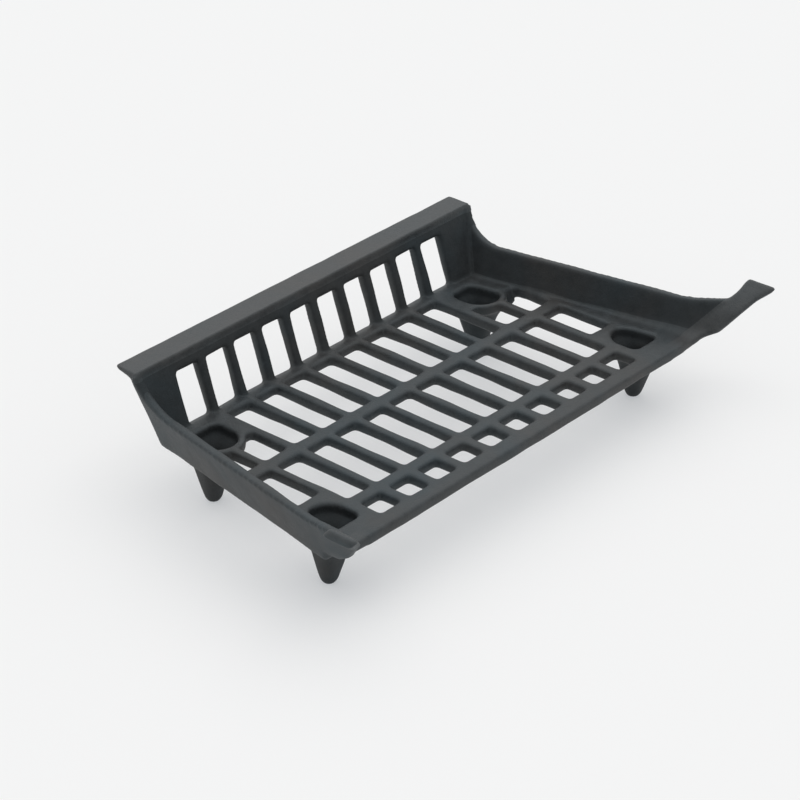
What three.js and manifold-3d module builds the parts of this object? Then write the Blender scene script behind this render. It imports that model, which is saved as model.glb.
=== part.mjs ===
// Cast iron log grate: a slotted tray on four hollow legs, with a leaning slotted back,
// splayed side walls and two flared front ears. Millimetres, +Z up, +Y to the back.
// The origin lies on the hearth, under the middle of the grate.
// The real grate is one sand casting. It is laid out here as the sections that its pattern has.
import * as THREE from 'three';
import { mergeVertices } from 'three/addons/utils/BufferGeometryUtils.js';
import Module from 'manifold-3d';

const wasm = await Module();
wasm.setup();

// ---- floor panel ----
const floorHeight = 64;            // hearth to the top of the floor
const floorThickness = 9;
const floorRearEdge = 129;         // where the floor meets the heel of the back wall
const floorFrontEdge = -103;       // where the floor meets the front lip

// ---- slots of the floor ----
const slotPitch = 38.1;
const slotWidth = 30.3;
const slotCornerRadius = 3;
const slotCornerSteps = 3;
const columnsPerRow = 12;
const rearRowFront = 37.5;
const rearRowBack = 123;
const middleRowFront = -61;
const middleRowBack = 24.5;
const ventsPerRow = 10;            // the short openings behind the front lip
const ventWidth = 27.5;
const ventRowFront = -98.5;
const ventRowBack = -73.5;
const ventCornerRadius = 3;
const shortSlotBack = 83;          // the outer two rear slots stop here, beside the rear pockets
const shortSlotFront = -36;        // and the outermost middle slot here, behind the front pockets
const outerSlotWallGap = 1;        // iron left between an outer slot and the foot of the side wall

// ---- side walls ----
const footHalfWidth = 238;         // centre line to the foot of a side wall, at y = 0
const sideSplay = 10.5;            // degrees, wider towards the front
const sideLean = 17.5;             // degrees from upright, outwards
const sideThickness = 7;
const sideHeight = 31;             // above the floor
const rearSweepRadius = 46;        // the top edge sweeps up to the back rim
const frontSweepRadius = 200;      // and up to the front ear
const frontSweepHeight = 9;        // how far that second sweep climbs
const footFilletRear = 3;          // reach of the fillet between floor and wall, at the back
const footFilletFront = 13;        // and at the front
const footFilletStart = 5;         // it grows from here to the front edge of the floor
const filletSteps = 5;
const sweepSteps = 12;

// ---- back wall ----
const backLean = 19.5;             // degrees from upright, backwards
const backThickness = 9;
const backCornerCut = 5;           // how far its rear corners are drawn in at the top
const backFootLine = 131;          // inner face of the back wall, at the top of the floor
const backSlotCount = 10;
const backSlotWidth = 30;
const backSlotHeight = 50;
const backSlotCornerRadius = 3;

// ---- back rim ----
const rimHeight = 66;              // top of the rim above the floor
const rimThickness = 6;
const rimEdgeThickness = 2.5;      // it thins towards its rear edge
const rimDepth = 24;
const rimHalfLength = 233.5;
const rimCornerRadius = 3;         // of the two rear corners
const rimCornerSteps = 5;

// ---- front lip and ears ----
const lipDepth = 12;
const lipHalfLength = 215;
const bandLean = 38.5;             // degrees from upright, the front edge leans forwards as it climbs
const bandThickness = 7;
const bandDepthFull = 24.5;        // front to back, once the band has risen this high
const bandFullHeight = 14;
const earWaistDepth = 21.5;        // where the ear is narrowest
const earWaistHeight = 46;
const earTipDepth = 30;            // length of the ear's end edge
const earTipBack = 5;              // the ear's end also grows this much backwards
const earReach = 302;              // centre line to the end of an ear
const earHeight = 57;              // above the floor
const earNeckHeight = 31;          // where the flare leaves the line of the side wall
const earStartPull = 5;            // how far the flare follows the wall
const earEndPull = 3;              // and how far it runs level at the tip
const earSteps = 8;

// ---- legs ----
const frontLegX = 221.5;           // middle of a foot
const frontLegY = -70;
const rearLegX = 190;
const rearLegY = 100.5;
const footRadius = 5;              // flat of the foot
const toeRadius = 7.5;             // the foot swells to this just above its flat
const toeHeight = 4;
const legReachOut = 33;            // top of the flank from the middle of the foot, to the side
const legReachEnd = 34;            // and to the nearest end of the tray
const legStraightShare = 0.5;      // the flank is so far a straight taper, and flares for the rest
const legFlarePower = 8;
const pocketFloorHeight = 12;      // bottom of the hollow above the hearth
const pocketToeRadius = 3;
const pocketReachOut = 12;         // mouth of the hollow, from the middle of the foot to the side
const pocketReachIn = 24;          // to the centre line
const pocketReachEnd = 18.5;       // to the nearest end of the tray
const pocketReachMiddle = 24;      // and to the middle of its depth
const pocketEndCorners = 9;
const pocketOuterCorners = 14;     // the two corners to the middle of the depth
const pocketInnerCorners = 22;
const pocketStraightShare = 0.45;
const pocketFlarePower = 6;
const pocketRing = 5;              // plain iron round the mouth
const legCornerSteps = 6;
const legSteps = 9;

const seamGap = 0.3;               // left where two sections meet on a leaning face
const cutMargin = 5;               // how far a cutting tool runs past the iron

const radians = THREE.MathUtils.degToRad;
const splaySlope = Math.tan(radians(sideSplay));
const leanSlope = Math.tan(radians(sideLean));
const backSlope = Math.tan(radians(backLean));
const bandSlope = Math.tan(radians(bandLean));
const sideThicknessAcross = sideThickness / Math.cos(radians(sideLean)) / Math.cos(radians(sideSplay));
const backThicknessAcross = backThickness / Math.cos(radians(backLean));
const rimUnderside = rimHeight - rimThickness;

const ironColor = 0x3b3f41;
const ironRoughness = 0.72;
const ironMetalness = 0.55;

function innerFaceX(y, z) {
  return footHalfWidth - splaySlope * y + leanSlope * z;
}

function outerFaceX(y, z) {
  return innerFaceX(y, z) + sideThicknessAcross;
}

function backInnerY(z) {
  return backFootLine + backSlope * Math.max(z, 0);
}

function bandRearY(z) {
  return floorFrontEdge - bandSlope * Math.max(z, 0);
}

// Depths and heights are counted from the floor: the middle of its slots, and its top.
// This group lifts the tray onto its legs and brings the middle of its depth over the origin.
const rimRear = backInnerY(rimUnderside) + rimDepth;
const earFront = bandRearY(earHeight) + earTipBack - earTipDepth;
const tray = new THREE.Group();
tray.position.set(0, -(rimRear + earFront) / 2, floorHeight);

// ---- solids ----

function solidOf(geometry) {
  const bare = geometry.clone();
  bare.deleteAttribute('normal');
  bare.deleteAttribute('uv');
  const merged = mergeVertices(bare, 1e-4);
  return new wasm.Manifold(new wasm.Mesh({
    numProp: 3,
    vertProperties: new Float32Array(merged.attributes.position.array),
    triVerts: new Uint32Array(merged.index.array),
  }));
}

function geometryOf(solid) {
  const mesh = solid.getMesh();
  const geometry = new THREE.BufferGeometry();
  geometry.setAttribute('position', new THREE.BufferAttribute(new Float32Array(mesh.vertProperties), 3));
  geometry.setIndex(new THREE.BufferAttribute(new Uint32Array(mesh.triVerts), 1));
  geometry.computeVertexNormals();
  return geometry;
}

function addPiece(name, geometry) {
  const mesh = new THREE.Mesh(geometry, new THREE.MeshStandardMaterial({
    color: ironColor,
    roughness: ironRoughness,
    metalness: ironMetalness,
  }));
  mesh.name = name;
  tray.add(mesh);
  return mesh;
}

// A closed solid through a row of rings, which all have as many corners and turn the same way.
function loftOf(rings) {
  const corners = rings[0].length;
  const positions = rings.flat().flatMap((corner) => [corner.x, corner.y, corner.z]);
  const faces = [];
  for (let ring = 0; ring + 1 < rings.length; ring += 1) {
    for (let corner = 0; corner < corners; corner += 1) {
      const next = (corner + 1) % corners;
      const here = ring * corners;
      const there = here + corners;
      faces.push(here + corner, here + next, there + next);
      faces.push(here + corner, there + next, there + corner);
    }
  }
  const last = (rings.length - 1) * corners;
  for (let corner = 1; corner + 1 < corners; corner += 1) {
    faces.push(0, corner + 1, corner);
    faces.push(last, last + corner, last + corner + 1);
  }
  const geometry = new THREE.BufferGeometry();
  geometry.setAttribute('position', new THREE.Float32BufferAttribute(positions, 3));
  geometry.setIndex(faces);
  return geometry;
}

// The same shape on the other side of the centre line, with its faces turned back outwards.
function mirrored(geometry) {
  const copy = geometry.clone();
  copy.scale(-1, 1, 1);
  const corners = copy.index.array;
  for (let face = 0; face < corners.length; face += 3) {
    const kept = corners[face + 1];
    corners[face + 1] = corners[face + 2];
    corners[face + 2] = kept;
  }
  copy.computeVertexNormals();
  return copy;
}

function roundedSlot(width, length, radius) {
  const outline = new THREE.Shape();
  const halfWidth = width / 2;
  const halfLength = length / 2;
  outline.absarc(halfWidth - radius, halfLength - radius, radius, 0, Math.PI / 2);
  outline.absarc(radius - halfWidth, halfLength - radius, radius, Math.PI / 2, Math.PI);
  outline.absarc(radius - halfWidth, radius - halfLength, radius, Math.PI, Math.PI * 1.5);
  outline.absarc(halfWidth - radius, radius - halfLength, radius, Math.PI * 1.5, Math.PI * 2);
  return outline;
}

// A bar along the width, whose section is drawn in depth and height.
function barAlongWidth(section, halfLength) {
  const bar = new THREE.ExtrudeGeometry(section, { depth: 2 * halfLength, bevelEnabled: false });
  bar.applyMatrix4(new THREE.Matrix4().makeBasis(
    new THREE.Vector3(0, 1, 0),
    new THREE.Vector3(0, 0, 1),
    new THREE.Vector3(1, 0, 0),
  ));
  bar.translate(-halfLength, 0, 0);
  return bar;
}

// ---- floor panel: flat, with its side edges in line with the outer faces of the walls ----

function floorRing(z) {
  const rear = outerFaceX(floorRearEdge, z);
  const front = outerFaceX(floorFrontEdge, z);
  return [
    new THREE.Vector3(-front, floorFrontEdge, z),
    new THREE.Vector3(front, floorFrontEdge, z),
    new THREE.Vector3(rear, floorRearEdge, z),
    new THREE.Vector3(-rear, floorRearEdge, z),
  ];
}

function floorCutter(x, front, back, width, radius) {
  const geometry = new THREE.ExtrudeGeometry(roundedSlot(width, back - front, radius), {
    depth: floorThickness + 2 * cutMargin,
    bevelEnabled: false,
    curveSegments: slotCornerSteps,
  });
  geometry.translate(x, (front + back) / 2, -floorThickness - cutMargin);
  return solidOf(geometry);
}

// The feet of the right side; end tells which way the nearest end of the tray lies.
const legPlaces = [
  { name: 'front', x: frontLegX, y: frontLegY, end: -1 },
  { name: 'rear', x: rearLegX, y: rearLegY, end: 1 },
];

// A rounded outline round a foot of the right side, whose outer side runs along the splayed wall.
function legRing(place, reach, z) {
  const ring = [];
  const rear = place.end > 0 ? reach.end : reach.middle;
  const front = place.end > 0 ? reach.middle : reach.end;
  for (let quarter = 0; quarter < 4; quarter += 1) {
    const atEnd = (quarter < 2) === (place.end > 0);
    const atSide = quarter === 0 || quarter === 3;
    const radius = atEnd ? reach.endCorners : reach[atSide ? 'outerCorners' : 'innerCorners'];
    const centreX = atSide ? reach.out - radius : radius - reach.in;
    const centreY = quarter < 2 ? rear - radius : radius - front;
    for (let step = 0; step <= legCornerSteps; step += 1) {
      const turn = (quarter + step / legCornerSteps) * Math.PI / 2;
      const x = centreX + radius * Math.cos(turn);
      const y = centreY + radius * Math.sin(turn);
      const sheared = x - splaySlope * y * Math.max(x, 0) / reach.out;
      ring.push(new THREE.Vector3(place.x + sheared, place.y + y, z));
    }
  }
  return ring;
}

const mouthReach = {
  out: pocketReachOut,
  in: pocketReachIn,
  end: pocketReachEnd,
  middle: pocketReachMiddle,
  endCorners: pocketEndCorners,
  outerCorners: pocketOuterCorners,
  innerCorners: pocketInnerCorners,
};

function roundReach(radius) {
  return {
    out: radius,
    in: radius,
    end: radius,
    middle: radius,
    endCorners: radius,
    outerCorners: radius,
    innerCorners: radius,
  };
}

function grownReach(reach, growth) {
  const grown = {};
  for (const [side, length] of Object.entries(reach)) grown[side] = length + growth;
  return grown;
}

// A straight cutter in the outline of a pocket's mouth, or of the iron round it, on the right side.
function pocketCutter(place, growth) {
  const reach = grownReach(mouthReach, growth);
  return loftOf([
    legRing(place, reach, -floorThickness - cutMargin),
    legRing(place, reach, cutMargin),
  ]);
}

// The iron that no slot may enter: the rings round the pockets and the strips along the walls.
function keptIron() {
  let kept = null;
  for (const place of legPlaces) {
    const ring = pocketCutter(place, pocketRing);
    const pair = solidOf(ring).add(solidOf(mirrored(ring)));
    kept = kept ? kept.add(pair) : pair;
  }
  for (const side of [-1, 1]) {
    const strip = (y, z) => {
      const inside = innerFaceX(y, 0) - outerSlotWallGap;
      return [new THREE.Vector3(side * inside, y, z), new THREE.Vector3(side * (inside + slotPitch), y, z)];
    };
    const ring = (z) => {
      const rear = strip(floorRearEdge, z);
      const front = strip(floorFrontEdge, z);
      const corners = [front[0], front[1], rear[1], rear[0]];
      return side > 0 ? corners : corners.reverse();
    };
    const low = -floorThickness - cutMargin;
    kept = kept.add(solidOf(loftOf([ring(low), ring(cutMargin)])));
  }
  return kept;
}

function floorPanel() {
  let openings = null;
  const cut = (cutter) => {
    openings = openings ? openings.add(cutter) : cutter;
  };
  for (let column = 0; column < columnsPerRow; column += 1) {
    const x = (column - (columnsPerRow - 1) / 2) * slotPitch;
    const fromSide = Math.min(column, columnsPerRow - 1 - column);
    const back = fromSide < 2 ? shortSlotBack : rearRowBack;
    const front = fromSide < 1 ? shortSlotFront : middleRowFront;
    cut(floorCutter(x, rearRowFront, back, slotWidth, slotCornerRadius));
    cut(floorCutter(x, front, middleRowBack, slotWidth, slotCornerRadius));
  }
  openings = openings.subtract(keptIron());
  for (let vent = 0; vent < ventsPerRow; vent += 1) {
    const x = (vent - (ventsPerRow - 1) / 2) * slotPitch;
    cut(floorCutter(x, ventRowFront, ventRowBack, ventWidth, ventCornerRadius));
  }
  for (const place of legPlaces) {
    const mouth = pocketCutter(place, 0);
    cut(solidOf(mouth));
    cut(solidOf(mirrored(mouth)));
  }
  const plate = solidOf(loftOf([floorRing(-floorThickness), floorRing(0)]));
  return geometryOf(plate.subtract(openings));
}

// ---- back wall: a leaning slotted plate with a heel that carries on the floor ----

function backWall() {
  const heel = new THREE.Shape([
    new THREE.Vector2(floorRearEdge, -floorThickness),
    new THREE.Vector2(backFootLine + backThicknessAcross - backSlope * floorThickness, -floorThickness),
    new THREE.Vector2(backInnerY(rimUnderside) + backThicknessAcross, rimUnderside),
    new THREE.Vector2(backInnerY(rimUnderside), rimUnderside),
    new THREE.Vector2(backFootLine, 0),
    new THREE.Vector2(floorRearEdge, 0),
  ]);
  // the ends follow the side walls, and their rear edge is drawn in more and more towards the rim
  const trimRing = (z, drawnIn) => {
    const front = floorRearEdge - cutMargin;
    const seam = backFootLine + backSlope * z;
    const rear = seam + backThicknessAcross;
    const behind = rear + cutMargin;
    const rearX = outerFaceX(rear, z) - drawnIn;
    const ends = [[outerFaceX(front, z), front], [outerFaceX(seam, z), seam], [rearX, rear], [rearX, behind]];
    return [
      ...ends.map(([x, y]) => new THREE.Vector3(x, y, z)),
      ...ends.reverse().map(([x, y]) => new THREE.Vector3(-x, y, z)),
    ];
  };
  const trim = loftOf([
    trimRing(-floorThickness - cutMargin, 0),
    trimRing(rimUnderside + cutMargin, backCornerCut),
  ]);
  let wall = solidOf(barAlongWidth(heel, footHalfWidth + rimHeight)).intersect(solidOf(trim));
  const slantHeight = backSlotHeight / Math.cos(radians(backLean));
  for (let slot = 0; slot < backSlotCount; slot += 1) {
    const cutter = new THREE.ExtrudeGeometry(
      roundedSlot(backSlotWidth, slantHeight, backSlotCornerRadius),
      { depth: backThickness + 2 * cutMargin, bevelEnabled: false, curveSegments: slotCornerSteps },
    );
    // the slots run square through the wall, so their sills slope down to the back
    cutter.translate(0, slantHeight / 2, -backThickness - cutMargin);
    cutter.rotateX(Math.PI / 2 - radians(backLean));
    const x = (slot - (backSlotCount - 1) / 2) * slotPitch;
    cutter.translate(x, backFootLine, 0);
    wall = wall.subtract(solidOf(cutter));
  }
  return geometryOf(wall);
}

// ---- back rim: the level flange on top of the back wall ----

function backRim() {
  const front = backInnerY(rimUnderside);
  const section = new THREE.Shape([
    new THREE.Vector2(front, rimUnderside),
    new THREE.Vector2(front + backThicknessAcross, rimUnderside),
    new THREE.Vector2(rimRear, rimHeight - rimEdgeThickness),
    new THREE.Vector2(rimRear, rimHeight),
    new THREE.Vector2(front, rimHeight),
  ]);
  const centreX = rimHalfLength - rimCornerRadius;
  const centreY = rimRear - rimCornerRadius;
  const outline = new THREE.Shape();
  outline.moveTo(-rimHalfLength, front - cutMargin);
  outline.lineTo(rimHalfLength, front - cutMargin);
  outline.absarc(centreX, centreY, rimCornerRadius, 0, Math.PI / 2);
  outline.absarc(-centreX, centreY, rimCornerRadius, Math.PI / 2, Math.PI);
  const trim = new THREE.ExtrudeGeometry(outline, {
    depth: rimThickness + 2 * cutMargin,
    bevelEnabled: false,
    curveSegments: rimCornerSteps,
  });
  trim.translate(0, 0, rimUnderside - cutMargin);
  return geometryOf(solidOf(barAlongWidth(section, rimHalfLength + cutMargin)).intersect(solidOf(trim)));
}

// ---- side wall: a leaning plate, cut to its side view, with a fillet along its foot ----

function footReach(y) {
  const share = THREE.MathUtils.clamp((footFilletStart - y) / (footFilletStart - floorFrontEdge), 0, 1);
  return THREE.MathUtils.lerp(footFilletRear, footFilletFront, share);
}

function sidePlate() {
  const reach = backInnerY(rimHeight) + cutMargin;
  const front = bandRearY(rimHeight) - cutMargin;
  const ring = (z) => [
    new THREE.Vector3(innerFaceX(front, z), front, z),
    new THREE.Vector3(outerFaceX(front, z), front, z),
    new THREE.Vector3(outerFaceX(reach, z), reach, z),
    new THREE.Vector3(innerFaceX(reach, z), reach, z),
  ];
  return solidOf(loftOf([ring(-cutMargin), ring(rimHeight + cutMargin)]));
}

function filletRing(y) {
  const reach = footReach(y);
  const foot = innerFaceX(y, 0);
  const rise = reach * Math.cos(radians(sideLean));
  const toe = new THREE.Vector2(foot - reach, 0);
  const curve = new THREE.QuadraticBezierCurve(
    toe,
    new THREE.Vector2(foot, 0),
    new THREE.Vector2(innerFaceX(y, rise), rise),
  );
  const ring = curve.getPoints(filletSteps).map((point) => new THREE.Vector3(point.x, y, point.y));
  ring.push(new THREE.Vector3(foot + sideThicknessAcross / 2, y, 0));
  return ring.reverse();
}

function footFillet() {
  const rings = [filletRing(floorRearEdge + backSlope * footFilletRear + cutMargin)];
  rings.push(filletRing(footFilletStart), filletRing(floorFrontEdge), filletRing(bandRearY(footFilletFront)));
  return solidOf(loftOf(rings));
}

// Side view of the wall, drawn in depth and height.
function sideOutline() {
  const rearGap = seamGap / Math.cos(radians(backLean));
  const frontGap = seamGap / Math.cos(radians(bandLean));
  const sweepRise = rimHeight - sideHeight;
  const sweepTurn = Math.acos(1 - sweepRise / rearSweepRadius);
  const rearTop = backInnerY(rimUnderside) - seamGap;
  const sweepStart = rearTop - seamGap - rearSweepRadius * Math.sin(sweepTurn);
  const frontTop = sideHeight + frontSweepHeight;
  const frontTurn = Math.acos(1 - frontSweepHeight / frontSweepRadius);
  const frontEnd = bandRearY(frontTop) + frontGap;
  const frontStart = frontEnd + frontSweepRadius * Math.sin(frontTurn);
  const lowest = -Math.PI / 2;
  const rearCentre = sideHeight + rearSweepRadius;
  const frontCentre = sideHeight + frontSweepRadius;
  const outline = new THREE.Shape();
  outline.moveTo(floorFrontEdge + frontGap, 0);
  outline.lineTo(backFootLine - rearGap, 0);
  outline.lineTo(backInnerY(rimUnderside) - rearGap, rimUnderside);
  outline.lineTo(rearTop, rimHeight);
  outline.absarc(sweepStart, rearCentre, rearSweepRadius, lowest + sweepTurn, lowest, true);
  outline.absarc(frontStart, frontCentre, frontSweepRadius, lowest, lowest - frontTurn, true);
  return outline;
}

function sideWall() {
  const near = innerFaceX(backInnerY(rimHeight), 0) - footFilletFront - cutMargin;
  const far = outerFaceX(bandRearY(rimHeight), rimHeight) + cutMargin;
  const view = new THREE.ExtrudeGeometry(sideOutline(), {
    depth: far - near,
    bevelEnabled: false,
    curveSegments: sweepSteps,
  });
  view.applyMatrix4(new THREE.Matrix4().makeBasis(
    new THREE.Vector3(0, 1, 0),
    new THREE.Vector3(0, 0, 1),
    new THREE.Vector3(1, 0, 0),
  ));
  view.translate(near, 0, 0);
  return geometryOf(sidePlate().add(footFillet()).intersect(solidOf(view)));
}

// ---- front lip: the plain bar along the front of the floor ----

function frontLip() {
  const geometry = new THREE.BoxGeometry(2 * lipHalfLength, lipDepth, floorThickness);
  geometry.translate(0, floorFrontEdge - lipDepth / 2, -floorThickness / 2);
  return geometry;
}

// ---- front ear: the band that leaves the lip, climbs the wall's front end and flares outwards ----

// Where the wall's inner face crosses the leaning plane of the band.
function bandInnerX(z) {
  return innerFaceX(bandRearY(z), z);
}

// Front view of the band's upper face, from the end of the lip to the tip of the ear.
function bandOutline() {
  const rise = footFilletFront * Math.cos(radians(sideLean));
  const foot = bandInnerX(0);
  const toe = new THREE.Vector2(foot - footFilletFront, 0);
  const wallStart = new THREE.Vector2(bandInnerX(rise), rise);
  const neck = new THREE.Vector2(bandInnerX(earNeckHeight), earNeckHeight);
  const tip = new THREE.Vector2(earReach, earHeight);
  const wallWay = neck.clone().sub(wallStart).normalize();
  const points = [new THREE.Vector2(lipHalfLength, 0)];
  const bend = new THREE.QuadraticBezierCurve(toe, new THREE.Vector2(foot, 0), wallStart);
  const flare = new THREE.CubicBezierCurve(
    neck,
    neck.clone().addScaledVector(wallWay, earStartPull),
    tip.clone().add(new THREE.Vector2(-earEndPull, 0)),
    tip,
  );
  points.push(...bend.getPoints(filletSteps), ...flare.getPoints(earSteps));
  return points;
}

// From 0 at the neck of the ear to 1 at its tip, mostly near the tip.
function earFlare(height) {
  return THREE.MathUtils.smoothstep(height, earWaistHeight, earHeight);
}

function bandDepth(height) {
  if (height < bandFullHeight) {
    return THREE.MathUtils.mapLinear(Math.max(height, 0), 0, bandFullHeight, lipDepth, bandDepthFull);
  }
  const waisted = Math.min(height, earWaistHeight);
  const depth = THREE.MathUtils.mapLinear(
    waisted, bandFullHeight, earWaistHeight, bandDepthFull, earWaistDepth);
  return THREE.MathUtils.lerp(depth, earTipDepth, earFlare(height));
}

function frontEar() {
  const outline = bandOutline();
  const rings = outline.map((point, index) => {
    const before = outline[Math.max(index - 1, 0)];
    const after = outline[Math.min(index + 1, outline.length - 1)];
    const way = after.clone().sub(before).normalize();
    const thickness = index === 0 ? floorThickness : bandThickness;
    const under = new THREE.Vector2(point.x + way.y * thickness, point.y - way.x * thickness);
    const depth = bandDepth(point.y);
    const back = earTipBack * earFlare(point.y);
    return [
      new THREE.Vector3(point.x, bandRearY(point.y) + back - depth, point.y),
      new THREE.Vector3(under.x, bandRearY(under.y) + back - depth, under.y),
      new THREE.Vector3(under.x, bandRearY(under.y) + back, under.y),
      new THREE.Vector3(point.x, bandRearY(point.y) + back, point.y),
    ];
  });
  return loftOf(rings);
}

// ---- leg: a hollow pyramid with rounded corners, which flares into the floor ----

// The rings of a taper from a round toe up to the given reach. Its flank flares near the top.
function legTaper(place, toe, top) {
  const rings = [];
  for (let step = 0; step <= legSteps; step += 1) {
    const share = step / legSteps;
    const spread = top.straightShare * share + (1 - top.straightShare) * share ** top.flarePower;
    const reach = {};
    for (const [side, length] of Object.entries(top.reach)) {
      reach[side] = THREE.MathUtils.lerp(toe.radius, length, spread);
    }
    const height = THREE.MathUtils.lerp(toe.height, floorHeight - floorThickness, share);
    rings.push(legRing(place, reach, height - floorHeight));
  }
  return rings;
}

function hollowLeg(place) {
  const flankReach = grownReach(mouthReach, pocketRing);
  flankReach.out = legReachOut;
  flankReach.end = legReachEnd;
  const flank = legTaper(place, { radius: toeRadius, height: toeHeight }, {
    reach: flankReach,
    straightShare: legStraightShare,
    flarePower: legFlarePower,
  });
  const hollow = legTaper(place, { radius: pocketToeRadius, height: pocketFloorHeight }, {
    reach: mouthReach,
    straightShare: pocketStraightShare,
    flarePower: pocketFlarePower,
  });
  const foot = legRing(place, roundReach(footRadius), -floorHeight);
  const mouth = legRing(place, mouthReach, cutMargin - floorThickness);
  return geometryOf(solidOf(loftOf([foot, ...flank])).subtract(solidOf(loftOf([...hollow, mouth]))));
}

// ---- the grate ----

addPiece('floor_grate', floorPanel());
addPiece('back_wall', backWall());
addPiece('back_rim', backRim());
addPiece('front_lip', frontLip());

const rightWall = sideWall();
addPiece('right_side_wall', rightWall);
addPiece('left_side_wall', mirrored(rightWall));

const rightEar = frontEar();
addPiece('right_front_ear', rightEar);
addPiece('left_front_ear', mirrored(rightEar));

for (const place of legPlaces) {
  const leg = hollowLeg(place);
  addPiece(`leg_${place.name}_right`, leg);
  addPiece(`leg_${place.name}_left`, mirrored(leg));
}

const grate = new THREE.Group();
grate.add(tray);

export default grate;
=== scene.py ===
import math

import bmesh
import bpy
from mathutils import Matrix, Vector, kdtree, noise


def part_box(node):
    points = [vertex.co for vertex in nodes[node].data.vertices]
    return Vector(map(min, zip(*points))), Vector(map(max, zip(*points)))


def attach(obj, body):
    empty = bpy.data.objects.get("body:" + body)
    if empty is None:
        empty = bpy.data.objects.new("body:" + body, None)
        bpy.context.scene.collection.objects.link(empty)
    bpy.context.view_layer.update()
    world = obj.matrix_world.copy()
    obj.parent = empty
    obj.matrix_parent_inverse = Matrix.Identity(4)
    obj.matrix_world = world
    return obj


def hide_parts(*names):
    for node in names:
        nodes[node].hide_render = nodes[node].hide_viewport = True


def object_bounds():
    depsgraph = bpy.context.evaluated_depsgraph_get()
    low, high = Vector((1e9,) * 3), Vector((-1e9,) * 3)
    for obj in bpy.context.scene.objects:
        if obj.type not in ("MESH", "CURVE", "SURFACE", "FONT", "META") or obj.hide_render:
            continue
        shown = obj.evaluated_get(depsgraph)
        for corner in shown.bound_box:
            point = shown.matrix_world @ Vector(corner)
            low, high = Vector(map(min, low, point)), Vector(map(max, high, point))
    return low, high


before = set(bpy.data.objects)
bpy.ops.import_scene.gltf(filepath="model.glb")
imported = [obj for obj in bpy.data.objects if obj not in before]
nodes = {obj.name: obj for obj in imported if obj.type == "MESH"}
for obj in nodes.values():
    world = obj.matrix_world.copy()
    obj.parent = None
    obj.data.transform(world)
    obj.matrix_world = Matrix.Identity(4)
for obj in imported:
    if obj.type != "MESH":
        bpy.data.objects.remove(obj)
cadLow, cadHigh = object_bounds()
print("stage: frame loaded,", len(nodes), "nodes")

mm = 0.001


def linkObject(name, data):
    item = bpy.data.objects.new(name, data)
    bpy.context.scene.collection.objects.link(item)
    return item


def meshOf(shape, name):
    mesh = bpy.data.meshes.new(name)
    shape.to_mesh(mesh)
    shape.free()
    return mesh


def bakedMesh(item):
    graph = bpy.context.evaluated_depsgraph_get()
    return bpy.data.meshes.new_from_object(item.evaluated_get(graph))


# One skin over all sections of the casting, so that the iron runs through from one to the next.

casting = {
    "merge": 0.001 * mm,         # joins the loose corners of a node's triangles
    "grain": 1.35 * mm,          # spacing of the points of the skin
    "seamOverlap": 0.5 * mm,     # closes the hairline seams at the ends of the side walls
    "roundings": 8,
    "roundingPull": 0.5,
    "swell": 1.1 * mm,           # gives edges back what rounding takes; lifts flat faces too
    "waveLength": 34 * mm,       # long soft unevenness of a hand-rammed sand mould
    "waveHeight": 0.8 * mm,
    "lumpLength": 13 * mm,       # short unevenness of the sand
    "lumpHeight": 0.12 * mm,
    "weld": 0.02 * mm,           # closes the needle faces that a cut leaves
}


def addShell(joined, node):
    shell = bmesh.new()
    shell.from_mesh(node.data)
    bmesh.ops.remove_doubles(shell, verts=shell.verts, dist=casting["merge"])
    if "side_wall" in node.name:
        low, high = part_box(node.name)
        middle = (low + high) / 2
        stretch = 1 + 2 * casting["seamOverlap"] / (high.y - low.y)
        for vert in shell.verts:
            vert.co.y = middle.y + (vert.co.y - middle.y) * stretch
    mesh = meshOf(shell, "shell")
    joined.from_mesh(mesh)
    bpy.data.meshes.remove(mesh)


def largestIsland(shape):
    unseen = set(shape.verts)
    best = set()
    while unseen:
        start = unseen.pop()
        island = {start}
        front = [start]
        while front:
            vert = front.pop()
            for edge in vert.link_edges:
                other = edge.other_vert(vert)
                if other in unseen:
                    unseen.remove(other)
                    island.add(other)
                    front.append(other)
        if len(island) > len(best):
            best = island
    return best


def keepLargest(shape):
    keep = largestIsland(shape)
    loose = [vert for vert in shape.verts if vert not in keep]
    bmesh.ops.delete(shape, geom=loose, context="VERTS")


def castSkin():
    joined = bmesh.new()
    for node in nodes.values():
        addShell(joined, node)
    holder = linkObject("joined", meshOf(joined, "joined"))
    remesh = holder.modifiers.new("skin", "REMESH")
    remesh.mode = "VOXEL"
    remesh.voxel_size = casting["grain"]
    even = bakedMesh(holder)
    bpy.data.objects.remove(holder)
    skin = bmesh.new()
    skin.from_mesh(even)
    keepLargest(skin)
    for _ in range(casting["roundings"]):
        bmesh.ops.smooth_vert(skin, verts=skin.verts, factor=casting["roundingPull"],
                              use_axis_x=True, use_axis_y=True, use_axis_z=True)
    bmesh.ops.recalc_face_normals(skin, faces=skin.faces)
    return skin


def makeUneven(skin):
    skin.normal_update()
    moves = []
    for vert in skin.verts:
        wave = noise.noise(vert.co / casting["waveLength"]) * casting["waveHeight"]
        lump = noise.noise(vert.co / casting["lumpLength"]) * casting["lumpHeight"]
        moves.append(vert.normal * (casting["swell"] + wave + lump))
    for vert, move in zip(skin.verts, moves):
        for axis in range(3):    # held to the box of the frame
            vert.co[axis] = min(max(vert.co[axis] + move[axis], cadLow[axis]), cadHigh[axis])
    skin.normal_update()


def edgeCurves(skin):
    curves = []
    for vert in skin.verts:
        around = sum((edge.other_vert(vert).co for edge in vert.link_edges), Vector())
        around /= len(vert.link_edges)
        curves.append((vert.co - around).dot(vert.normal) / casting["grain"])
    return curves


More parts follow.
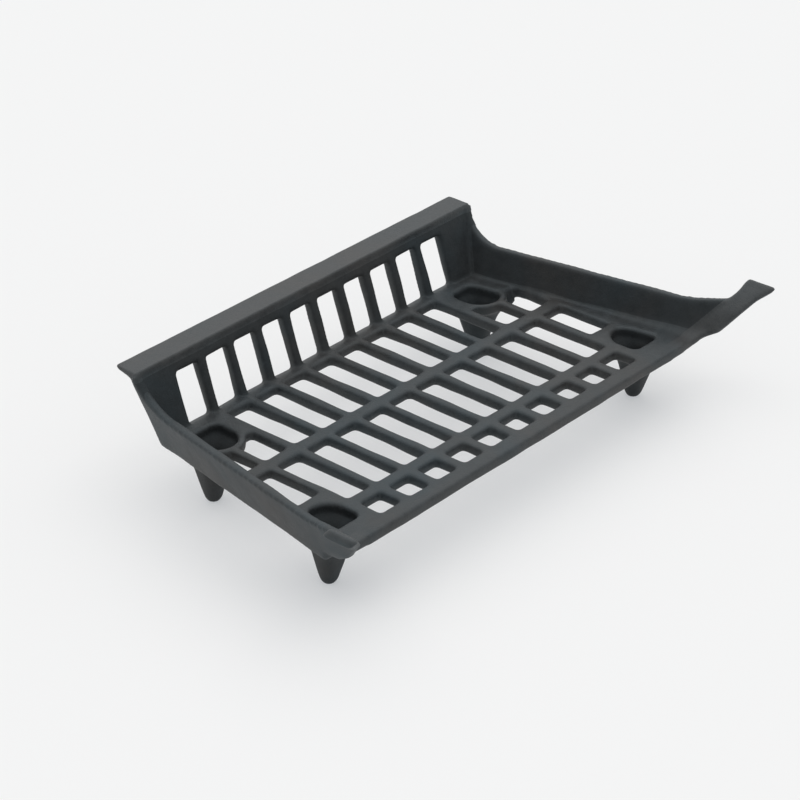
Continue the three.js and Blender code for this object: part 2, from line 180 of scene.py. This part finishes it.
skin = castSkin()
makeUneven(skin)
curves = edgeCurves(skin)
skinNormals = [vert.normal.copy() for vert in skin.verts]
skinPoints = kdtree.KDTree(len(skin.verts))
for index, vert in enumerate(skin.verts):
    skinPoints.insert(vert.co, index)
skinPoints.balance()
for face in skin.faces:
    face.smooth = True
print("stage: skin of", len(skin.faces), "faces")


# Where the sections part. Each cutter is a prism; what it takes is gone for the next one.

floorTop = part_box("floor_grate")[1].z
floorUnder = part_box("floor_grate")[0].z
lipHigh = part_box("front_lip")[1]
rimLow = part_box("back_rim")[0]
seamDrop = 2 * mm                # how far under a face its seam lies

seams = {
    "far": 400 * mm,             # beyond the whole casting
    "legTop": floorUnder - seamDrop,
    "middleY": 15 * mm,          # between the front and the rear legs
    "backFoot": 123.4 * mm,      # in the floor, 3.5 mm in front of the back wall
    "backLean": 0.354,
    "backFootZ": floorTop,
    "rimUnder": rimLow.z - seamDrop,
    "lipBack": lipHigh.y,
    "lipHalf": lipHigh.x,
    "bandRise": 67 * mm,         # the band of an ear leans forward from here
    "bandLean": 0.795,
    "bandTop": 104.5 * mm,
    "earBack": -90 * mm,
    "sideFoot": 238 * mm,        # inner foot of a side wall
    "sideSplay": 0.185,
    "sideY": -1.45 * mm,
}


def prism(corners, extent):
    solid = bmesh.new()
    base = solid.faces.new([solid.verts.new(corner) for corner in corners])
    grown = bmesh.ops.extrude_face_region(solid, geom=[base])
    tops = [item for item in grown["geom"] if isinstance(item, bmesh.types.BMVert)]
    bmesh.ops.translate(solid, verts=tops, vec=extent)
    bmesh.ops.recalc_face_normals(solid, faces=solid.faces)
    return linkObject("cutter", meshOf(solid, "cutter"))


def legCutter(side, end):
    farX, farY = side * seams["far"], end * seams["far"]
    top, middle = seams["legTop"], seams["middleY"]
    corners = [(0, middle, top), (farX, middle, top), (farX, farY, top), (0, farY, top)]
    return prism(corners, (0, 0, -seams["far"]))


def backCutter(low, high):
    far, foot, footZ = seams["far"], seams["backFoot"], seams["backFootZ"]
    outline = [(foot + seams["backLean"] * (z - footZ), z) for z in (low, high)]
    outline += [(far, high), (far, low)]
    return prism([(-far, y, z) for y, z in outline], (2 * far, 0, 0))


def lipCutter():
    half, back, far = seams["lipHalf"], seams["lipBack"], seams["far"]
    corners = [(-half, back, 0), (half, back, 0), (half, -far, 0), (-half, -far, 0)]
    return prism(corners, (0, 0, far))


def earCutter(side):
    back, far = seams["lipBack"], seams["far"]
    bandBack = back - seams["bandLean"] * (seams["bandTop"] - seams["bandRise"])
    outline = [(-far, 0), (back, 0), (back, seams["bandRise"]), (bandBack, seams["bandTop"]),
               (seams["earBack"], seams["bandTop"]), (seams["earBack"], far), (-far, far)]
    return prism([(side * seams["lipHalf"], y, z) for y, z in outline], (side * far, 0, 0))


def sideCutter(side):
    far, foot, splay = seams["far"], seams["sideFoot"], seams["sideSplay"]
    outline = [(foot - splay * (y - seams["sideY"]), y) for y in (-far, far)]
    outline += [(2 * far, far), (2 * far, -far)]
    return prism([(side * x, y, 0) for x, y in outline], (0, 0, far))


cutters = {
    "leg_front_left": legCutter(-1, -1),
    "leg_front_right": legCutter(1, -1),
    "leg_rear_left": legCutter(-1, 1),
    "leg_rear_right": legCutter(1, 1),
    "back_rim": backCutter(seams["rimUnder"], seams["far"]),
    "back_wall": backCutter(0, seams["far"]),
    "front_lip": lipCutter(),
    "left_front_ear": earCutter(-1),
    "right_front_ear": earCutter(1),
    "left_side_wall": sideCutter(-1),
    "right_side_wall": sideCutter(1),
}


def carved(source, cutter, operation):
    part = source.modifiers.new("part", "BOOLEAN")
    part.solver = "MANIFOLD"
    part.operation = operation
    part.object = cutter
    mesh = bakedMesh(source)
    source.modifiers.remove(part)
    return mesh


def splitSkin():
    rest = linkObject("rest", meshOf(skin, "rest"))
    meshes = {}
    for name, cutter in cutters.items():
        meshes[name] = carved(rest, cutter, "INTERSECT")
        rest.data = carved(rest, cutter, "DIFFERENCE")
        bpy.data.objects.remove(cutter)
    meshes["floor_grate"] = rest.data
    bpy.data.objects.remove(rest)
    return meshes


def cleaned(mesh):
    part = bmesh.new()
    part.from_mesh(mesh)
    bmesh.ops.remove_doubles(part, verts=part.verts, dist=casting["weld"])
    bmesh.ops.dissolve_degenerate(part, edges=part.edges, dist=casting["weld"])
    keepLargest(part)
    bmesh.ops.triangulate(part, faces=part.faces)
    twins = {}
    for face in part.faces:      # two faces on the same corners are a fin
        twins.setdefault(frozenset(face.verts), []).append(face)
    fins = [face for group in twins.values() if len(group) > 1 for face in group]
    bmesh.ops.delete(part, geom=fins, context="FACES")
    print("stage: cleaned,", sum(not edge.is_manifold for edge in part.edges), "open edges")
    part.to_mesh(mesh)
    part.free()
    return mesh


meshes = splitSkin()
print("stage: skin parted into", len(meshes), "sections")


# Cast iron with a matt stove finish.

iron = {
    "cool": (0.0270, 0.0335, 0.0370, 1),
    "warm": (0.0390, 0.0360, 0.0340, 1),
    "worn": (0.062, 0.066, 0.069, 1),      # thin finish on convex edges
    "paintedHighlight": (0.080, 0.074, 0.070, 1),      # painted highlight: a lighter colour on the top of the rim and on the ears
    "streaks": (9, 3, 0.55, 0.7),          # scale, detail, roughness and distortion
    "mottle": (90, 5, 0.6),                # scale, detail and roughness
    "grain": (850, 3, 0.6),
    "pitScale": 380,
    "warmBand": (0.35, 0.68),              # where the streaks turn from cool to warm
    "mottleBand": (0.25, 0.75),
    "mottleShade": (0.6, 1.4),             # darkest and lightest spots
    "rubBand": (0.35, 0.7),                # the mottling breaks up the wear
    "rubShare": (0.25, 1),
    "highlightBand": (0.3, 0.6),                # and the painted highlight
    "highlightBreak": (0.5, 1),
    "rimHighlightShare": 0.5,
    "rimHighlightDepth": 6 * mm,                   # from the top of the rim downwards
    "shadedShare": 0.6,                         # share of the colour left under the painted shade
    "shine": 0.4,
    "shineTint": (0.83, 0.95, 1.0, 1),
    "roughBand": (0.3, 0.7),
    "roughness": (0.45, 0.58),
    "rubbedSmoother": 0.06,
    "shadeRougher": 0.25,
    "mottleHeight": 1.4,                   # against a grain of height 1
    "pitReach": (0, 0.35),                 # from the middle of a pit to its edge
    "pitDepth": 0.5,
    "bumpStrength": 0.65,
    "bumpDistance": 0.45 * mm,
}


def makeIron():
    material = bpy.data.materials.new("cast iron, stove finish")
    material.use_nodes = True
    tree = material.node_tree
    shader = tree.nodes["Principled BSDF"]
    place = tree.nodes.new("ShaderNodeTexCoord").outputs["Object"]

    def noiseOf(scale, detail, rough, distortion=0):
        pattern = tree.nodes.new("ShaderNodeTexNoise")
        pattern.inputs["Scale"].default_value = scale
        pattern.inputs["Detail"].default_value = detail
        pattern.inputs["Roughness"].default_value = rough
        pattern.inputs["Distortion"].default_value = distortion
        tree.links.new(place, pattern.inputs["Vector"])
        return pattern.outputs["Fac"]

    def maskOf(name):
        reader = tree.nodes.new("ShaderNodeAttribute")
        reader.attribute_name = name
        return reader.outputs["Fac"]

    def ranged(value, source, target):
        step = tree.nodes.new("ShaderNodeMapRange")
        ends = ("From Min", "From Max", "To Min", "To Max")
        for end, number in zip(ends, (*source, *target)):
            step.inputs[end].default_value = number
        tree.links.new(value, step.inputs["Value"])
        return step.outputs["Result"]

    def combined(operation, first, second):
        step = tree.nodes.new("ShaderNodeMath")
        step.operation = operation
        for socket, value in zip(step.inputs, (first, second)):
            if isinstance(value, (int, float)):
                socket.default_value = value
            else:
                tree.links.new(value, socket)
        return step.outputs["Value"]

    def blended(mask, first, second):
        step = tree.nodes.new("ShaderNodeMix")
        step.data_type = "RGBA"
        tree.links.new(mask, step.inputs["Factor"])
        colours = [socket for socket in step.inputs if socket.type == "RGBA"]
        for socket, value in zip(colours, (first, second)):
            if isinstance(value, tuple):
                socket.default_value = value
            else:
                tree.links.new(value, socket)
        return next(socket for socket in step.outputs if socket.type == "RGBA")

    def scaled(colour, factor):
        step = tree.nodes.new("ShaderNodeVectorMath")
        step.operation = "SCALE"
        tree.links.new(colour, step.inputs[0])
        tree.links.new(factor, step.inputs["Scale"])
        return step.outputs["Vector"]

    streaks = noiseOf(*iron["streaks"])
    mottle = noiseOf(*iron["mottle"])
    grain = noiseOf(*iron["grain"])
    pits = tree.nodes.new("ShaderNodeTexVoronoi")
    pits.inputs["Scale"].default_value = iron["pitScale"]
    tree.links.new(place, pits.inputs["Vector"])
    wear, hollow, earHighlight = maskOf("edgeWear"), maskOf("hollow"), maskOf("paintedEarHighlight")

    colour = blended(ranged(streaks, iron["warmBand"], (0, 1)), iron["cool"], iron["warm"])
    colour = scaled(colour, ranged(mottle, iron["mottleBand"], iron["mottleShade"]))
    rubbed = combined("MULTIPLY", wear, ranged(mottle, iron["rubBand"], iron["rubShare"]))
    colour = blended(rubbed, colour, iron["worn"])
    parts = tree.nodes.new("ShaderNodeSeparateXYZ")
    tree.links.new(place, parts.inputs["Vector"])
    # painted highlight: the top of the rim, and the ears, are made lighter in colour, broken up by
    # the mottling
    rimTop = (cadHigh.z - iron["rimHighlightDepth"], cadHigh.z)
    highlighted = combined("MAXIMUM", ranged(parts.outputs["Z"], rimTop, (0, iron["rimHighlightShare"])), earHighlight)
    highlighted = combined("MULTIPLY", highlighted, ranged(mottle, iron["highlightBand"], iron["highlightBreak"]))
    colour = blended(highlighted, colour, iron["paintedHighlight"])
    # painted shade: darker in concave corners, in the leg pockets, on the inner faces of the walls
    # and on the legs
    colour = scaled(colour, ranged(hollow, (0, 1), (1, iron["shadedShare"])))
    tree.links.new(colour, shader.inputs["Base Color"])
    shader.inputs["Specular Tint"].default_value = iron["shineTint"]
    shader.inputs["Specular IOR Level"].default_value = iron["shine"]

    rough = ranged(mottle, iron["roughBand"], iron["roughness"])
    rough = combined("SUBTRACT", rough, combined("MULTIPLY", rubbed, iron["rubbedSmoother"]))
    rough = combined("ADD", rough, combined("MULTIPLY", hollow, iron["shadeRougher"]))
    tree.links.new(rough, shader.inputs["Roughness"])

    pitted = ranged(pits.outputs["Distance"], iron["pitReach"], (0, 1))
    height = combined("ADD", grain, combined("MULTIPLY", mottle, iron["mottleHeight"]))
    height = combined("ADD", height, combined("MULTIPLY", pitted, iron["pitDepth"]))
    bump = tree.nodes.new("ShaderNodeBump")
    bump.inputs["Strength"].default_value = iron["bumpStrength"]
    bump.inputs["Distance"].default_value = iron["bumpDistance"]
    tree.links.new(height, bump.inputs["Height"])
    tree.links.new(bump.outputs["Normal"], shader.inputs["Normal"])
    return material


ironMaterial = makeIron()

# edge wear, painted shade and painted highlight: where each goes
wearAndPaintedLight = {
    "edge": (0.06, 0.26),        # how round an edge is where wear starts and ends
    "edgeWear": 0.5,
    "hollow": (0.03, 0.16),      # the same for painted shade in concave corners
    "pocketReach": 34 * mm,      # painted shade in the pockets of the legs
    "pocketLip": 2.5 * mm,
    "pocketFacing": (0, 0.5),
    "pocketShade": 1,
    "fireFacing": (0.2, 0.6),    # painted shade on the inner faces of the back and side walls
    "fireSideShade": 0.85,
    "legShade": 0.6,
    "highlightFacing": (0, 0.6),       # painted highlight on the up-facing faces of the flared ears
    "highlightFade": 25 * mm,
    "earHighlightShare": 0.45,
    "neighbours": 3,             # points of the skin that one point of a piece takes after
    "touching": 1e-7,
}


def skinAt(point):
    normal, curve, total = Vector(), 0, 0
    for _, index, distance in skinPoints.find_n(point, wearAndPaintedLight["neighbours"]):
        weight = 1 / (distance + wearAndPaintedLight["touching"])
        normal += skinNormals[index] * weight
        curve += curves[index] * weight
        total += weight
    return normal.normalized(), curve / total


def share(value, start, end):
    return min(max((value - start) / (end - start), 0), 1)


legBoxes = [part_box(name) for name in nodes if name.startswith("leg_")]
legMiddles = [(low + high) / 2 for low, high in legBoxes]


# painted shade: the inner faces of the leg pockets are darker
def pocketShadeOf(point, normal):
    for middle in legMiddles:
        inward = Vector((middle.x - point.x, middle.y - point.y, 0))
        if inward.length < wearAndPaintedLight["pocketReach"] and point.z < floorTop - wearAndPaintedLight["pocketLip"]:
            facing = normal.dot(inward.normalized()) + normal.z
            return share(facing, *wearAndPaintedLight["pocketFacing"]) * wearAndPaintedLight["pocketShade"]
    return 0


# painted shade: the inner faces of the back and side walls are darker
def fireSideShadeOf(name, point, normal):
    if name == "back_wall":
        return share(-normal.y, *wearAndPaintedLight["fireFacing"]) * wearAndPaintedLight["fireSideShade"]
    if name.endswith("side_wall"):
        facing = -normal.x * math.copysign(1, point.x)
        return share(facing, *wearAndPaintedLight["fireFacing"]) * wearAndPaintedLight["fireSideShade"]
    # painted shade: the legs are darker all over
    return wearAndPaintedLight["legShade"] if name.startswith("leg_") else 0


# painted highlight: a lighter colour on the up-facing faces of the ears, growing towards their
# outer ends
def earHighlightOf(name, point, normal):
    if not name.endswith("ear"):
        return 0
    reach = share(abs(point.x), seams["lipHalf"], seams["lipHalf"] + wearAndPaintedLight["highlightFade"])
    return share(normal.z, *wearAndPaintedLight["highlightFacing"]) * reach * wearAndPaintedLight["earHighlightShare"]


def finishPiece(name, mesh):
    found = [skinAt(vert.co) for vert in mesh.vertices]
    masks = {"edgeWear": [], "paintedEarHighlight": [], "hollow": []}
    for vert, (normal, curve) in zip(mesh.vertices, found):
        masks["edgeWear"].append(share(curve, *wearAndPaintedLight["edge"]) * wearAndPaintedLight["edgeWear"])
        masks["paintedEarHighlight"].append(earHighlightOf(name, vert.co, normal))
        # painted shade in concave corners, the leg pockets, the inner wall faces and the legs
        masks["hollow"].append(max(share(-curve, *wearAndPaintedLight["hollow"]),
                                   pocketShadeOf(vert.co, normal),
                                   fireSideShadeOf(name, vert.co, normal)))
    for mask, values in masks.items():
        mesh.attributes.new(mask, "FLOAT", "POINT").data.foreach_set("value", values)
    corners = []
    for face in mesh.polygons:
        corners += [found[index][0] if face.use_smooth else face.normal for index in face.vertices]
    mesh.normals_split_custom_set(corners)
    mesh.materials.clear()
    mesh.materials.append(ironMaterial)
    piece = linkObject(name + "_cast", mesh)
    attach(piece, "root")
    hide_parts(name)
    print("stage: piece", name, len(mesh.polygons), "triangles")


for name, mesh in meshes.items():
    finishPiece(name, cleaned(mesh))


# Floor, light and camera.

studio = {
    "floorHalf": 20,
    "floorColour": (0.98, 0.925, 0.865, 1),
    "floorRoughness": 0.9,
    "floorGlow": (0.889, 0.9195, 0.9575, 1),    # the look of a white floor lit from all round
    "floorGlowShare": 0.42,
    "world": 0.64,
    "worldColour": (0.94, 1.0, 1.06, 1),
    "backdrop": (0.905, 0.912, 0.913, 1),
    "lamp": 1.15,                # one very soft lamp overhead, a little behind and to the right
    "lampAngle": 90,
    "lampTilt": (-15, 15, 0),
}


def seenRays(tree):
    rays = tree.nodes.new("ShaderNodeLightPath")
    seen = rays.outputs["Is Camera Ray"]
    for kind in ("Is Glossy Ray", "Is Transmission Ray"):
        either = tree.nodes.new("ShaderNodeMath")
        either.operation = "MAXIMUM"
        tree.links.new(seen, either.inputs[0])
        tree.links.new(rays.outputs[kind], either.inputs[1])
        seen = either.outputs["Value"]
    return seen


def addFloor():
    ground = bmesh.new()
    bmesh.ops.create_grid(ground, x_segments=2, y_segments=2, size=studio["floorHalf"])
    floor = linkObject("floor", meshOf(ground, "floor"))
    pale = bpy.data.materials.new("pale floor")
    pale.use_nodes = True
    tree = pale.node_tree
    shader = tree.nodes["Principled BSDF"]
    shader.inputs["Base Color"].default_value = studio["floorColour"]
    shader.inputs["Roughness"].default_value = studio["floorRoughness"]
    shader.inputs["Specular IOR Level"].default_value = 0
    glowing = tree.nodes.new("ShaderNodeMath")
    glowing.operation = "MULTIPLY"
    glowing.inputs[1].default_value = studio["floorGlowShare"]
    tree.links.new(seenRays(tree), glowing.inputs[0])
    glow = tree.nodes.new("ShaderNodeEmission")
    glow.inputs["Color"].default_value = studio["floorGlow"]
    mixed = tree.nodes.new("ShaderNodeMixShader")
    tree.links.new(glowing.outputs["Value"], mixed.inputs["Fac"])
    tree.links.new(shader.outputs["BSDF"], mixed.inputs[1])
    tree.links.new(glow.outputs["Emission"], mixed.inputs[2])
    tree.links.new(mixed.outputs["Shader"], tree.nodes["Material Output"].inputs["Surface"])
    floor.data.materials.append(pale)


def addLight():
    world = bpy.data.worlds.new("studio")
    bpy.context.scene.world = world
    world.use_nodes = True
    tree = world.node_tree
    light = tree.nodes["Background"]
    light.inputs["Color"].default_value = studio["worldColour"]
    light.inputs["Strength"].default_value = studio["world"]
    backdrop = tree.nodes.new("ShaderNodeBackground")
    backdrop.inputs["Color"].default_value = studio["backdrop"]
    mixed = tree.nodes.new("ShaderNodeMixShader")
    tree.links.new(seenRays(tree), mixed.inputs["Fac"])
    tree.links.new(light.outputs["Background"], mixed.inputs[1])
    tree.links.new(backdrop.outputs["Background"], mixed.inputs[2])
    tree.links.new(mixed.outputs["Shader"], tree.nodes["World Output"].inputs["Surface"])
    lamp = bpy.data.lights.new("overhead", "SUN")
    lamp.energy = studio["lamp"]
    lamp.angle = math.radians(studio["lampAngle"])
    holder = linkObject("overhead", lamp)
    holder.rotation_euler = [math.radians(angle) for angle in studio["lampTilt"]]


view = {
    "lens": 134.6123,
    "sensorWidth": 36,
    "place": (-1.85526492, -1.5465805, 1.44261432),
    "turn": (60.21326852, -0.52746999, -49.2016517),
}


def addCamera():
    data = bpy.data.cameras.new("camera")
    data.lens = view["lens"]
    data.sensor_width = view["sensorWidth"]
    camera = linkObject("camera", data)
    camera.location = view["place"]
    camera.rotation_euler = [math.radians(angle) for angle in view["turn"]]
    bpy.context.scene.camera = camera


addFloor()
addLight()
addCamera()
bpy.context.scene.view_settings.view_transform = "Standard"
print("stage: studio ready")
